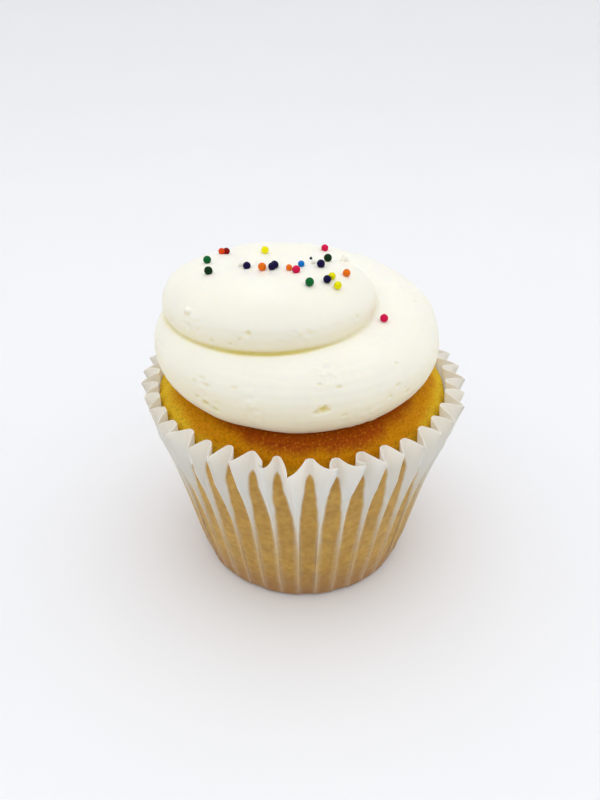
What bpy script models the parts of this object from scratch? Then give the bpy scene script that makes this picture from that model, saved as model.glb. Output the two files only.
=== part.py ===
"""A vanilla cupcake in its fluted paper case, for Blender 4.5, in metres with +Z up.

Three solids, each an object of its own:
  paper_case    the pleated paper cup, one thin shell from its flat base to its wavy rim
  sponge        the baked cake, which fills the cup and domes over its rim
  buttercream   one piped rope: a full turn round the edge that climbs into a second, smaller turn

The origin is the middle of the flat base, on the table. Angles are in degrees, seen from above:
0 is +X (the right), 90 is +Y (the back), 270 is -Y (the front).
"""

import math

import bmesh
import bpy

MM = 0.001
GAP = 0.30 * MM  # clear space between solids that touch on the real cake

# Paper case
PLEATS = 39
PAPER_THICK = 0.30 * MM
CASE_HEIGHT = 47.2 * MM
BASE_FLAT_RADIUS = 22.6 * MM  # the part of the base that rests on the table
BASE_EDGE_RADIUS = 23.8 * MM  # from here its edge rounds up into the wall
WALL_FOOT_RADIUS = 24.9 * MM  # inside radius of the panels where the wall starts
WALL_FOOT_HEIGHT = 1.5 * MM
GRIP_HEIGHT = 39.5 * MM  # the cake holds the paper up to here; above it the paper is free
GRIP_RADIUS = 33.0 * MM
RIM_RADIUS = 33.4 * MM  # inside radius of the inner folds at the rim
FOLD_DEPTH_WALL = 0.7 * MM  # how far the folds stand out from the panels, low down and at the rim
FOLD_DEPTH_RIM = 3.4 * MM
FOLD_DROP_RIM = 0.6 * MM  # the folds' outer corners end a little lower than the panels
FOLD_TIP_WIDTH = 0.5 * MM
PANEL_SHARE_WALL = 0.86  # flat part of a pleat, as a share of its pitch
PANEL_SHARE_RIM = 0.30
OPEN_FOLD_DEG = 266.5  # one fold near the front has opened wider than the rest
OPEN_FOLD_PUSH_DEG = 0.95  # and pushes its neighbours aside
OPEN_FOLD_FADE_DEG = 40.0  # less and less over this stretch
UNEVEN_RIM = 0.5 * MM  # how much the pleats differ: in height, in depth, in place and in lean
UNEVEN_DEPTH = 0.12
UNEVEN_PLACE_DEG = 0.35
UNEVEN_LEAN_DEG = 0.9
WALL_ROWS = (0.0, 0.13, 0.48, 0.76, 0.90, 1.0)  # shares of the height where the wall bends

# Turned solids
TURN_STEPS = 52
DOME_POINTS = 9

# Sponge
CROWN_HEIGHT = 51.2 * MM
CROWN_ROUNDNESS = 0.74  # 1 is an ellipse; less is a flatter top with a tighter shoulder
FOOT_CORNER = 2.6 * MM
FOOT_CORNER_POINTS = 3

# Buttercream rope: its angles are how far it has turned, so 360 more is one turn further on
ROPE_START_DEG = -300.0
ROPE_END_DEG = 450.0
ROPE_STEP_DEG = 9.0
ROPE_HALF_WIDTH = 11.7 * MM
ROPE_SQUASH = 0.80  # its height over its width
RING_REACH = 19.9 * MM  # the rope's middle line to the middle of the lower turn
END_REACH = 4.0 * MM
INWARD_FROM_DEG = 90.0  # its turns begin to tighten here
RING_HEIGHT = 56.6 * MM  # middle line above the table, in the lower turn and at the top
TOP_HEIGHT = 67.1 * MM
CLIMB_FROM_DEG = -70.0
CLIMB_TO_DEG = 270.0
TOP_TURN_SHARE = 0.94  # thickness of its upper turn, as a share of the full thickness
TIP_SHARE = 0.35  # thickness of its two tips
TAIL_FULL_DEG = -185.0  # it starts as a thin tail, and has its full thickness from here
TAIL_DROP = 4.5 * MM  # the tail lies on the crown, under the turn that passes over it
START_LIFT = 0.8 * MM  # the first stretch after it lies a little higher than the rest
START_LIFT_FROM_DEG = -170.0
START_LIFT_TO_DEG = -100.0
SINK = 5.0 * MM  # at last it sinks into the middle of the top, and thins there
SINK_FROM_DEG = 320.0
THIN_FROM_DEG = 390.0
SWIRL_MIDDLE_X = -1.4 * MM  # the swirl stands a little to the left and back
SWIRL_MIDDLE_Y = 0.6 * MM
TOP_SHIFT_X = -1.0 * MM
CORE_RADIUS = 14.5 * MM
CORE_TOP = 75.2 * MM
CORE_ROUNDNESS = 0.55
FINE_STEP = 0.9 * MM  # mesh size while the rope and its core are melted into one
SOFTEN_TIMES = 6
KEPT_SHARE = 0.105  # of the melted mesh's faces


def mix(first, second, share):
    return first + (second - first) * share


def smooth_step(low, high, value):
    """0 below low, 1 above high, and a soft S between them."""
    share = min(1.0, max(0.0, (value - low) / (high - low)))
    return share * share * (3.0 - 2.0 * share)


def uneven(index, phase):
    """A steady but irregular value between -1 and 1 for each pleat, as hands and ovens leave them."""
    return 0.6 * math.sin(2.39 * index + phase) + 0.4 * math.sin(5.17 * index + 2.1 * phase)


def clear_scene():
    for old in list(bpy.data.objects):
        bpy.data.objects.remove(old)


def make_collection(name):
    collection = bpy.data.collections.new(name)
    bpy.context.scene.collection.children.link(collection)
    return collection


def make_material(name, colour, roughness):
    material = bpy.data.materials.new(name)
    material.use_nodes = True
    shader = material.node_tree.nodes["Principled BSDF"]
    shader.inputs["Base Color"].default_value = (*colour, 1.0)
    shader.inputs["Roughness"].default_value = roughness
    shader.inputs["Metallic"].default_value = 0.0
    return material


def add_object(name, mesh, collection, material=None):
    obj = bpy.data.objects.new(name, mesh)
    collection.objects.link(obj)
    if material is not None:
        mesh.materials.append(material)
    return obj


def finish_mesh(name, built):
    """Turns a hand-built bmesh into mesh data with its faces all looking outwards."""
    bmesh.ops.recalc_face_normals(built, faces=built.faces)
    data = bpy.data.meshes.new(name)
    built.to_mesh(data)
    built.free()
    return data


def ring_point(radius, degrees, height):
    angle = math.radians(degrees)
    return (radius * math.cos(angle), radius * math.sin(angle), height)


def bridge(mesh, low, high):
    """Joins two closed rows of vertices with a band of faces."""
    for index in range(len(low)):
        after = (index + 1) % len(low)
        mesh.faces.new((low[index], low[after], high[after], high[index]))


# Paper case
def panel_radius(height):
    """Inside radius of the flat panels at this height."""
    if height <= GRIP_HEIGHT:
        climb = (height - WALL_FOOT_HEIGHT) / (GRIP_HEIGHT - WALL_FOOT_HEIGHT)
        return mix(WALL_FOOT_RADIUS, GRIP_RADIUS, climb)
    return mix(GRIP_RADIUS, RIM_RADIUS, (height - GRIP_HEIGHT) / (CASE_HEIGHT - GRIP_HEIGHT))


def pleat_angle(index):
    """Middle of a pleat's flat panel; its neighbours are pushed away from the opened fold."""
    pitch = 360.0 / PLEATS
    even = pitch * (index + 0.5)
    away = even if even <= 180.0 else even - 360.0
    push = OPEN_FOLD_PUSH_DEG * math.copysign(math.exp(-abs(away) / OPEN_FOLD_FADE_DEG), away)
    stray = UNEVEN_PLACE_DEG * uneven(index, 0.7) if abs(away) > 2.0 * pitch else 0.0
    return OPEN_FOLD_DEG + even + push + stray


def wall_row(mesh, share):
    """One height of the wall: four vertices a pleat, two on the panel and two on the fold's edge."""
    row = []
    panel = mix(PANEL_SHARE_WALL, PANEL_SHARE_RIM, smooth_step(0.3, 1.0, share))
    half_panel = 0.5 * panel * 360.0 / PLEATS
    low_depth = FOLD_DEPTH_WALL * smooth_step(-0.03, 0.12, share)
    for index in range(PLEATS):
        height = mix(WALL_FOOT_HEIGHT, CASE_HEIGHT + UNEVEN_RIM * uneven(index, 2.0), share)
        radius = panel_radius(min(height, CASE_HEIGHT))
        here = pleat_angle(index)
        following = pleat_angle(index + 1) if index < PLEATS - 1 else pleat_angle(0) + 360.0
        rim_depth = FOLD_DEPTH_RIM * (1.0 + UNEVEN_DEPTH * uneven(index, 4.4))
        edge = radius + mix(low_depth, rim_depth, share ** 4)
        edge_height = height - FOLD_DROP_RIM * share
        fold = (here + following) / 2.0 + UNEVEN_LEAN_DEG * uneven(index, 1.1) * share ** 2
        half_tip = math.degrees(FOLD_TIP_WIDTH / 2.0 / edge)
        row.append(mesh.verts.new(ring_point(radius, here - half_panel, height)))
        row.append(mesh.verts.new(ring_point(radius, here + half_panel, height)))
        row.append(mesh.verts.new(ring_point(edge, fold - half_tip, edge_height)))
        row.append(mesh.verts.new(ring_point(edge, fold + half_tip, edge_height)))
    return row


def make_paper_case(collection, material):
    mesh = bmesh.new()
    wall = [wall_row(mesh, share) for share in WALL_ROWS]
    rows = []
    for radius in (BASE_FLAT_RADIUS, BASE_EDGE_RADIUS):
        base_row = []
        for vertex in wall[0]:
            degrees = math.degrees(math.atan2(vertex.co.y, vertex.co.x))
            base_row.append(mesh.verts.new(ring_point(radius, degrees, PAPER_THICK)))
        rows.append(base_row)
    mesh.faces.new(rows[0])
    rows.extend(wall)
    for low, high in zip(rows, rows[1:]):
        bridge(mesh, low, high)
    case = add_object("paper_case", finish_mesh("paper_case", mesh), collection, material)
    thickness = case.modifiers.new("paper", "SOLIDIFY")
    thickness.thickness = PAPER_THICK
    thickness.offset = 1.0
    thickness.use_even_offset = False
    return case


# Turned solids
def dome_profile(radius, low, high, roundness):
    """(radius, height) points of a dome, from its middle down to its edge."""
    points = [(0.0, high)]
    for step in range(1, DOME_POINTS):
        turn = math.radians(90.0 * step / DOME_POINTS)
        up = math.cos(turn) ** roundness
        points.append((radius * math.sin(turn) ** roundness, mix(low, high, up)))
    points.append((radius, low))
    return points


def sponge_profile(grow=0.0):
    """The crown, over the shoulder and down the wall to the middle of the base."""
    points = dome_profile(GRIP_RADIUS - GAP + grow, GRIP_HEIGHT, CROWN_HEIGHT + grow, CROWN_ROUNDNESS)
    wall_foot = PAPER_THICK + GAP + FOOT_CORNER
    foot_radius = panel_radius(wall_foot) - GAP
    for step in range(FOOT_CORNER_POINTS + 1):
        turn = math.radians(90.0 * step / FOOT_CORNER_POINTS)
        points.append((
            foot_radius - FOOT_CORNER * (1.0 - math.cos(turn)),
            wall_foot - FOOT_CORNER * math.sin(turn),
        ))
    points.append((0.0, PAPER_THICK + GAP))
    return points


def make_turned(name, profile, collection, material=None):
    data = bpy.data.meshes.new(name)
    data.from_pydata(
        [(radius, 0.0, height) for radius, height in profile],
        [(index, index + 1) for index in range(len(profile) - 1)],
        [],
    )
    obj = add_object(name, data, collection, material)
    turn = obj.modifiers.new("turn", "SCREW")
    turn.axis = "Z"
    turn.steps = TURN_STEPS
    turn.render_steps = TURN_STEPS
    turn.use_smooth_shade = True
    turn.use_merge_vertices = True
    turn.merge_threshold = 0.00001
    return obj


# Buttercream
def rope_point(turned):
    """Place and thickness share of the rope's middle line, after it has turned this far."""
    climb = smooth_step(CLIMB_FROM_DEG, CLIMB_TO_DEG, turned)
    tail = 1.0 - smooth_step(ROPE_START_DEG, TAIL_FULL_DEG, turned)
    thin = smooth_step(THIN_FROM_DEG, ROPE_END_DEG, turned)
    height = mix(RING_HEIGHT, TOP_HEIGHT, climb) - TAIL_DROP * tail
    height += START_LIFT * (1.0 - smooth_step(START_LIFT_FROM_DEG, START_LIFT_TO_DEG, turned))
    height -= SINK * smooth_step(SINK_FROM_DEG, ROPE_END_DEG, turned)
    reach = mix(RING_REACH, END_REACH, smooth_step(INWARD_FROM_DEG, ROPE_END_DEG, turned))
    x, y, z = ring_point(reach, turned, height)
    share = mix(1.0, TOP_TURN_SHARE, climb) * mix(1.0, TIP_SHARE, max(tail, thin))
    return (SWIRL_MIDDLE_X + TOP_SHIFT_X * climb + x, SWIRL_MIDDLE_Y + y, z), share


def make_rope(collection):
    """A tube along the climbing turn, made round and then pressed flatter by the object's scale."""
    curve = bpy.data.curves.new("rope", "CURVE")
    curve.dimensions = "3D"
    curve.bevel_depth = ROPE_HALF_WIDTH
    curve.bevel_resolution = 6
    curve.use_fill_caps = True
    line = curve.splines.new("POLY")
    steps = round((ROPE_END_DEG - ROPE_START_DEG) / ROPE_STEP_DEG)
    line.points.add(steps)
    for step, point in enumerate(line.points):
        (x, y, z), share = rope_point(mix(ROPE_START_DEG, ROPE_END_DEG, step / steps))
        point.co = (x, y, z / ROPE_SQUASH, 1.0)
        point.radius = share
    rope = bpy.data.objects.new("rope", curve)
    collection.objects.link(rope)
    rope.scale.z = ROPE_SQUASH
    return rope


def make_core(collection):
    """Fills the middle of the turns, so that the buttercream is solid down to the sponge."""
    profile = dome_profile(CORE_RADIUS, GRIP_HEIGHT, CORE_TOP, CORE_ROUNDNESS)
    core = make_turned("core", profile + [(0.0, GRIP_HEIGHT)], collection)
    core.location = (SWIRL_MIDDLE_X + TOP_SHIFT_X, SWIRL_MIDDLE_Y, 0.0)
    return core


def make_buttercream(parts, helpers, material):
    sources = (make_rope(helpers), make_core(helpers))
    bpy.context.view_layer.update()
    graph = bpy.context.evaluated_depsgraph_get()
    joined = bmesh.new()
    for source in sources:
        piece = bpy.data.meshes.new_from_object(source.evaluated_get(graph))
        piece.transform(source.matrix_world)
        joined.from_mesh(piece)
        bpy.data.meshes.remove(piece)
    bmesh.ops.remove_doubles(joined, verts=joined.verts, dist=0.01 * MM)
    for source in sources:
        bpy.data.objects.remove(source)
    swirl = add_object("buttercream", finish_mesh("buttercream", joined), parts, material)
    melt = swirl.modifiers.new("one body", "REMESH")
    melt.mode = "VOXEL"
    melt.voxel_size = FINE_STEP
    melt.use_smooth_shade = True
    soften = swirl.modifiers.new("soft piping", "SMOOTH")
    soften.factor = 0.5
    soften.iterations = SOFTEN_TIMES
    fewer = swirl.modifiers.new("fewer faces", "DECIMATE")
    fewer.ratio = KEPT_SHARE
    dome = make_turned("crown_cutter", sponge_profile(GAP), helpers)
    dome.hide_render = True
    dome.display_type = "WIRE"
    seat = swirl.modifiers.new("seat on the sponge", "BOOLEAN")
    seat.operation = "DIFFERENCE"
    seat.solver = "EXACT"
    seat.object = dome
    return swirl


def main():
    clear_scene()
    parts = make_collection("cupcake")
    helpers = make_collection("cutters")
    paper = make_material("greaseproof_paper", (0.80, 0.76, 0.70), 0.7)
    cake = make_material("golden_sponge", (0.47, 0.21, 0.02), 0.85)
    cream = make_material("vanilla_buttercream", (0.90, 0.87, 0.76), 0.45)
    make_paper_case(parts, paper)
    make_turned("sponge", sponge_profile(), parts, cake)
    make_buttercream(parts, helpers, cream)


main()
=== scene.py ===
# %% [markdown]
# # A vanilla cupcake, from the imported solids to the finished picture
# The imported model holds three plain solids: the paper case, the sponge and the buttercream. They have the
# right size and place, but no crumb, no pleats that open like paper and no air pockets. In this lesson each
# of them is made again as a fine mesh inside the space of its solid, and gets the finish of the real food.
# All lengths below are in millimetres and are turned into Blender's metres when a mesh is made. The middle
# of the case's flat base is the origin, the front is -Y and up is +Z.

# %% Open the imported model
import math
import random

import bmesh
import bpy
import numpy as np
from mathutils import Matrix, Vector, bvhtree, noise


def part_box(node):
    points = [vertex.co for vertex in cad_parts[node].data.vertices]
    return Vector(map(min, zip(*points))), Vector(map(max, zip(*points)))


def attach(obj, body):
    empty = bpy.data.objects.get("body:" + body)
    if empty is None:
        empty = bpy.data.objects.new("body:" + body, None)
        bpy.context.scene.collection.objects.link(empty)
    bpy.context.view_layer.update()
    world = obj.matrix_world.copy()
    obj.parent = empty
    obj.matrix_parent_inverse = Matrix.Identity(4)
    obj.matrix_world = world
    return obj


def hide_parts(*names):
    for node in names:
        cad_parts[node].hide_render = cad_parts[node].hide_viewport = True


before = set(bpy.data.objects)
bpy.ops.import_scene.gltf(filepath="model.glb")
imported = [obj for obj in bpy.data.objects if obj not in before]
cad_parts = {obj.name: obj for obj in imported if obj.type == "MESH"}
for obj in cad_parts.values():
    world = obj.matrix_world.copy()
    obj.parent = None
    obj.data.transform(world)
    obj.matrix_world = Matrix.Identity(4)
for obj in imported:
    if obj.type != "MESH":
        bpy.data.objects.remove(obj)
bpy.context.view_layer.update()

MM = 0.001
rest_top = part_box("buttercream")[1].z / MM
print("solids:", sorted(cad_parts), "top at %.1f mm" % rest_top)

# %% [markdown]
# ## A few words that every step uses
# Most shapes here are soft blends between two sizes, so `mix` and `smooth_step` come back all the time.
# Angles are in degrees, seen from above: 0 is the right, 90 the back, 270 the front. Baked and piped things
# are never quite even, and `wave` gives each numbered thing its own steady amount of unevenness, so the
# cupcake comes out the same every time the script runs.

# %% Blending helpers


def mix(first, second, share):
    return first + (second - first) * share


def smooth_step(low, high, value):
    """0 below low, 1 above high, and a soft S between them. Takes one value or a whole array."""
    share = np.clip((value - low) / (high - low), 0.0, 1.0)
    return share * share * (3.0 - 2.0 * share)


def wave(index, phase):
    return 0.6 * math.sin(2.39 * index + phase) + 0.4 * math.sin(5.17 * index + 2.1 * phase)


def ring_point(radius, degrees, height):
    angle = math.radians(degrees)
    return (radius * math.cos(angle), radius * math.sin(angle), height)


# %% Turn millimetre points into a piece


def make_piece(name, points, faces, smooth=True):
    data = bpy.data.meshes.new(name)
    data.from_pydata([(x * MM, y * MM, z * MM) for x, y, z in points], [], faces)
    if smooth:
        data.shade_smooth()
    piece = bpy.data.objects.new(name, data)
    bpy.context.scene.collection.objects.link(piece)
    return piece


def report(piece):
    print(piece.name, "has", len(piece.data.polygons), "faces")


# %% Read and write a mesh as millimetre arrays


def read_points(piece):
    flat = np.empty(len(piece.data.vertices) * 3, dtype=np.float32)
    piece.data.vertices.foreach_get("co", flat)
    return flat.reshape(-1, 3).astype(float) / MM


def read_normals(piece):
    flat = np.empty(len(piece.data.vertices) * 3, dtype=np.float32)
    piece.data.vertex_normals.foreach_get("vector", flat)
    return flat.reshape(-1, 3).astype(float)


def write_points(piece, points):
    piece.data.vertices.foreach_set("co", (points * MM).astype(np.float32).ravel())
    piece.data.update()


def write_attribute(piece, name, values):
    """One number per point, which the piece's finish can read by name."""
    layer = piece.data.attributes.new(name, "FLOAT", "POINT")
    layer.data.foreach_set("value", np.asarray(values, dtype=np.float32))


# %% [markdown]
# ## The camera
# A cake like this is photographed from arm's length at table height plus a forearm: near enough that the
# front of the case looks clearly bigger than the back. The camera stands 157 mm in front of the cupcake's
# middle and 144 mm above the table, looks 33.7 degrees down, and has a wide lens. Depth of field stays off.

# %% Camera
CAMERA_AWAY = 156.8
CAMERA_UP = 144.0
CAMERA_LEFT = 0.8
LOOK_DOWN_DEG = 33.67
FILM_HEIGHT = 24.0
LENS = 24.0

camera_data = bpy.data.cameras.new("camera")
camera_data.sensor_fit = "VERTICAL"
camera_data.sensor_height = FILM_HEIGHT
camera_data.lens = LENS
camera_data.clip_start = 0.01
camera = bpy.data.objects.new("camera", camera_data)
camera.location = (-CAMERA_LEFT * MM, -CAMERA_AWAY * MM, CAMERA_UP * MM)
camera.rotation_euler = (math.radians(90.0 - LOOK_DOWN_DEG), 0.0, 0.0)
bpy.context.scene.collection.objects.link(camera)
bpy.context.scene.camera = camera
print("camera looks", LOOK_DOWN_DEG, "degrees down")

# %% [markdown]
# ## Colours and shader nodes
# A baker would name a colour from a chart, and on a screen that chart is sRGB hex. Cycles adds up light, so
# it wants linear values, and `hex_colour` makes the turn in one place. `add_node` puts in one shader node
# with its settings, its socket values and the sockets that feed it. That one helper is enough for every
# finish below, and each finish still shows its own nodes one by one.

# %% Colour and node helpers


def hex_colour(text):
    """A colour such as "F6F1E0" as linear red, green, blue and full alpha."""
    shades = []
    for start in (0, 2, 4):
        shade = int(text[start:start + 2], 16) / 255.0
        shades.append(shade / 12.92 if shade <= 0.04045 else ((shade + 0.055) / 1.055) ** 2.4)
    return (*shades, 1.0)


def add_node(tree, kind, values=None, links=None, **settings):
    """One shader node: its own settings, its socket values, and the sockets that feed it."""
    node = tree.nodes.new("ShaderNode" + kind)
    for name, value in settings.items():
        setattr(node, name, value)
    for name, value in (values or {}).items():
        node.inputs[name].default_value = value
    for name, source in (links or {}).items():
        tree.links.new(source, node.inputs[name])
    return node


def start_finish(name):
    """A new material with its node tree, its Principled shader and the piece's own coordinates."""
    material = bpy.data.materials.new(name)
    material.use_nodes = True
    tree = material.node_tree
    place = add_node(tree, "TexCoord").outputs["Object"]
    return material, tree, tree.nodes["Principled BSDF"], place


def per_mm(size):
    """A noise scale whose patches are about this many millimetres wide."""
    return 1.0 / (size * MM)


# %% [markdown]
# ## The table and the light
# The cupcake stands on a white paper sweep, one sheet that lies on the table and curves up behind, so no
# edge shows. Photographers do this to get a pale ground with only a soft shadow. A turned-up sheet is easy
# to make from one profile line, drawn out sideways.

# %% White paper sweep
SWEEP_HALF_WIDTH = 1500.0
SWEEP_FRONT = -4000.0
SWEEP_BEND_START = 380.0
SWEEP_BEND_RADIUS = 260.0
SWEEP_TOP = 700.0
BEND_STEPS = 24

profile = [(SWEEP_FRONT, 0.0), (SWEEP_BEND_START, 0.0)]
for step in range(1, BEND_STEPS + 1):
    turn = math.radians(90.0 * step / BEND_STEPS)
    profile.append((
        SWEEP_BEND_START + SWEEP_BEND_RADIUS * math.sin(turn),
        SWEEP_BEND_RADIUS * (1.0 - math.cos(turn)),
    ))
profile.append((SWEEP_BEND_START + SWEEP_BEND_RADIUS, SWEEP_TOP))
sweep_points = []
for y, z in profile:
    sweep_points.append((-SWEEP_HALF_WIDTH, y, z))
    sweep_points.append((SWEEP_HALF_WIDTH, y, z))
sweep_faces = [(2 * i, 2 * i + 1, 2 * i + 3, 2 * i + 2) for i in range(len(profile) - 1)]
sweep = make_piece("paper_sweep", sweep_points, sweep_faces)

# %% [markdown]
# The sheet is uncoated white card, pressed from paper pulp. It has no gloss to speak of, so its roughness is
# near 0.9. Pulp is never quite even, and a faint cloudiness, about 40 mm from patch to patch, varies both its
# white and its roughness by a shade that the eye takes for real card.

# %% Matte white card for the sweep
sweep_card, tree, card, place = start_finish("matte_white_card")
pulp = add_node(tree, "TexNoise", {"Scale": per_mm(40.0), "Detail": 2.0}, {"Vector": place})
card_white = add_node(
    tree, "MixRGB", {"Color1": hex_colour("EEEFF2"), "Color2": hex_colour("F0F1F4")},
    {"Fac": pulp.outputs["Fac"]},
)
tree.links.new(card_white.outputs["Color"], card.inputs["Base Color"])
felt = add_node(
    tree, "MapRange", {"From Min": 0.3, "From Max": 0.7, "To Min": 0.86, "To Max": 0.94},
    {"Value": pulp.outputs["Fac"]},
)
tree.links.new(felt.outputs["Result"], card.inputs["Roughness"])
card.inputs["Specular IOR Level"].default_value = 0.2
sweep.data.materials.append(sweep_card)

# %% [markdown]
# The light is that of a white room by day: pale all round, brightest from above, and dim on the side where
# the photographer stands. A large soft box overhead only adds a little. That is why the shadow under the
# cupcake is soft all round, and why the upright front of the case is darker than the table.

# %% Soft box and white room
SIDE_LEVEL = 1.035
FRONT_LEVEL = 0.12
LIGHT_ABOVE = 1.26
CEILING_FROM = 0.8
BOX_POWER = 0.3
BOX_SIZE = 600.0
BOX_PLACE = (60.0, 40.0, 800.0)

room = bpy.data.worlds.new("white_room")
room.use_nodes = True
tree = room.node_tree
looking = add_node(tree, "TexCoord").outputs["Generated"]
way = add_node(tree, "SeparateXYZ", links={"Vector": looking})
ceiling = add_node(tree, "MapRange", {"From Min": 0.0, "From Max": 0.7}, {"Value": way.outputs["Z"]})
tint = add_node(
    tree, "MixRGB", {"Color1": hex_colour("FAF7D8"), "Color2": hex_colour("FAFBFF")},
    {"Fac": ceiling.outputs["Result"]},
)
tree.links.new(tint.outputs["Color"], tree.nodes["Background"].inputs["Color"])
level = add_node(
    tree, "MapRange",
    {"From Min": -1.0, "From Max": 0.2, "To Min": FRONT_LEVEL, "To Max": SIDE_LEVEL},
    {"Value": way.outputs["Y"]},
)
strength = add_node(
    tree, "MapRange", {"From Max": CEILING_FROM, "To Max": LIGHT_ABOVE},
    {"Value": way.outputs["Z"], "To Min": level.outputs["Result"]}, interpolation_type="SMOOTHSTEP",
)
tree.links.new(strength.outputs["Result"], tree.nodes["Background"].inputs["Strength"])
bpy.context.scene.world = room

box_data = bpy.data.lights.new("soft_box", "AREA")
box_data.shape = "SQUARE"
box_data.size = BOX_SIZE * MM
box_data.energy = BOX_POWER
box = bpy.data.objects.new("soft_box", box_data)
box.location = [value * MM for value in BOX_PLACE]
bpy.context.scene.collection.objects.link(box)

bpy.context.scene.view_settings.view_transform = "Standard"
print("room light", FRONT_LEVEL, "to", LIGHT_ABOVE, "and soft box", BOX_POWER, "watts")

# %% [markdown]
# ## The buttercream's path
# The swirl was piped with a wide round nozzle: one fat rope that starts as a thin tail on the cake, goes
# once round the edge, climbs over its own start and ends in the middle of the top. So it is one tube along
# one path. The path is a formula of how far the hand has turned, with the same sizes as the solid, which
# makes sure that the fine swirl fills the solid's own space.

# %% Rope sizes, in millimetres and degrees
ROPE_START_DEG = -300.0
ROPE_END_DEG = 450.0
ROPE_STEP_DEG = 4.5
ROPE_HALF_WIDTH = 11.7
ROPE_SQUASH = 0.80
RING_REACH = 19.9
END_REACH = 4.0
INWARD_FROM_DEG = 90.0
RING_HEIGHT = 56.6
TOP_HEIGHT = 67.1
CLIMB_FROM_DEG = -70.0
CLIMB_TO_DEG = 270.0
TOP_TURN_SHARE = 0.94
TIP_SHARE = 0.35
TAIL_FULL_DEG = -185.0
TAIL_DROP = 4.5
START_LIFT = 0.8
START_LIFT_FROM_DEG = -170.0
START_LIFT_TO_DEG = -100.0
SINK = 5.0
SINK_FROM_DEG = 320.0
THIN_FROM_DEG = 390.0
SWIRL_MIDDLE_X = -1.4
SWIRL_MIDDLE_Y = 0.6
TOP_SHIFT_X = -1.0
CORE_RADIUS = 14.5
CORE_TOP = 75.2
CORE_ROUNDNESS = 0.55
GRIP_HEIGHT = 39.5

# %% The rope's middle line


def rope_point(turned):
    """Place and thickness share of the rope's middle line, after it has turned this far."""
    climb = smooth_step(CLIMB_FROM_DEG, CLIMB_TO_DEG, turned)
    tail = 1.0 - smooth_step(ROPE_START_DEG, TAIL_FULL_DEG, turned)
    thin = smooth_step(THIN_FROM_DEG, ROPE_END_DEG, turned)
    height = mix(RING_HEIGHT, TOP_HEIGHT, climb) - TAIL_DROP * tail
    height += START_LIFT * (1.0 - smooth_step(START_LIFT_FROM_DEG, START_LIFT_TO_DEG, turned))
    height -= SINK * smooth_step(SINK_FROM_DEG, ROPE_END_DEG, turned)
    reach = mix(RING_REACH, END_REACH, smooth_step(INWARD_FROM_DEG, ROPE_END_DEG, turned))
    x, y, z = ring_point(reach, turned, height)
    share = mix(1.0, TOP_TURN_SHARE, climb) * mix(1.0, TIP_SHARE, max(tail, thin))
    return (SWIRL_MIDDLE_X + TOP_SHIFT_X * climb + x, SWIRL_MIDDLE_Y + y, z), share


# %% Pipe the rope


def pipe_rope():
    """A round tube along the path, pressed flatter by the object's scale."""
    curve = bpy.data.curves.new("rope", "CURVE")
    curve.dimensions = "3D"
    curve.bevel_depth = ROPE_HALF_WIDTH * MM
    curve.bevel_resolution = 14
    curve.use_fill_caps = True
    line = curve.splines.new("POLY")
    steps = round((ROPE_END_DEG - ROPE_START_DEG) / ROPE_STEP_DEG)
    line.points.add(steps)
    for step, point in enumerate(line.points):
        (x, y, z), share = rope_point(mix(ROPE_START_DEG, ROPE_END_DEG, step / steps))
        point.co = (x * MM, y * MM, z * MM / ROPE_SQUASH, 1.0)
        point.radius = share
    rope = bpy.data.objects.new("rope", curve)
    bpy.context.scene.collection.objects.link(rope)
    rope.scale.z = ROPE_SQUASH
    return rope


# %% [markdown]
# ## Turned shapes
# The sponge's crown and the filling in the middle of the swirl are domes. A dome is a profile turned round
# the upright axis. The profile is a superellipse: with a roundness of 1 it is an ellipse, and with less it
# gets a flatter top and a tighter shoulder, as a cake has that rose in its case.

# %% Dome profile and lathe


def dome_profile(radius, low, high, roundness, count):
    """(radius, height) points of a dome, from its middle down to its edge."""
    points = [(0.0, high)]
    for step in range(1, count):
        turn = math.radians(90.0 * step / count)
        up = math.cos(turn) ** roundness
        points.append((radius * math.sin(turn) ** roundness, mix(low, high, up)))
    points.append((radius, low))
    return points


def lathe(name, profile, steps):
    """Turns a profile that starts and ends on the axis into a closed piece."""
    rings = profile[1:-1]
    points = [(0.0, 0.0, profile[0][1])]
    for radius, height in rings:
        for step in range(steps):
            points.append(ring_point(radius, 360.0 * step / steps, height))
    points.append((0.0, 0.0, profile[-1][1]))
    faces = []
    last = len(points) - 1
    for step in range(steps):
        after = (step + 1) % steps
        faces.append((0, 1 + step, 1 + after))
        for ring in range(len(rings) - 1):
            here = 1 + ring * steps
            faces.append((here + step, here + steps + step, here + steps + after, here + after))
        bottom = 1 + (len(rings) - 1) * steps
        faces.append((last, bottom + after, bottom + step))
    return make_piece(name, points, faces)


# %% [markdown]
# ## Melting the turns into one body
# Real turns of buttercream press into each other and leave only a crease. A voxel remesh does just that: it
# keeps the outer skin of everything that overlaps. Its cell of 0.33 mm is fine enough for the crease, and a
# light smoothing then takes away the cells' own steps.

# %% Melt the rope and its filling
CELL = 0.33
SOFTEN_TIMES = 4


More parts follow.
